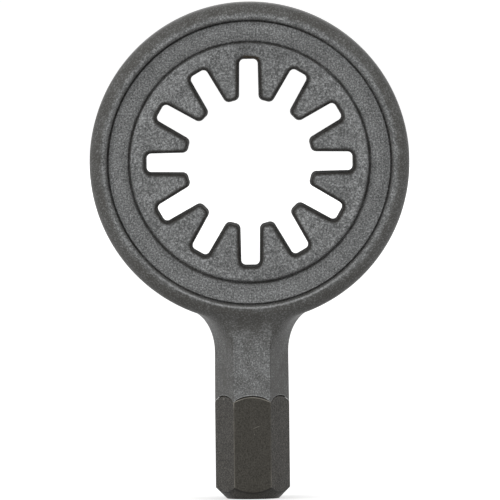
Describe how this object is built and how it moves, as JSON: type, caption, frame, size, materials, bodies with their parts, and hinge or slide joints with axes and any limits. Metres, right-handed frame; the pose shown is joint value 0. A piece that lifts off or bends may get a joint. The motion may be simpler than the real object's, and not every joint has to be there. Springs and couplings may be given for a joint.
{
  "type": "broadhead wrench",
  "caption": "Small broadhead wrench: a round moulded head whose star-shaped slotted opening takes a bladed arrow tip, on a quarter-inch hexagon drive bit.",
  "frame": {"origin": "centre of the drive bit's free end, on the surface that the wrench stands on", "axes": "+Z along the drive axis from the bit up to the head, Y along the axis of the star-shaped opening with the front facing -Y, X across the head"},
  "size_m": [0.0314, 0.0082, 0.0489],
  "materials": {
    "moulding": "matte",
    "bit_steel": "satin"
  },
  "bodies": {
    "root": {"wrench_head": "moulding", "hex_bit": "bit_steel"}
  },
  "joints": []
}
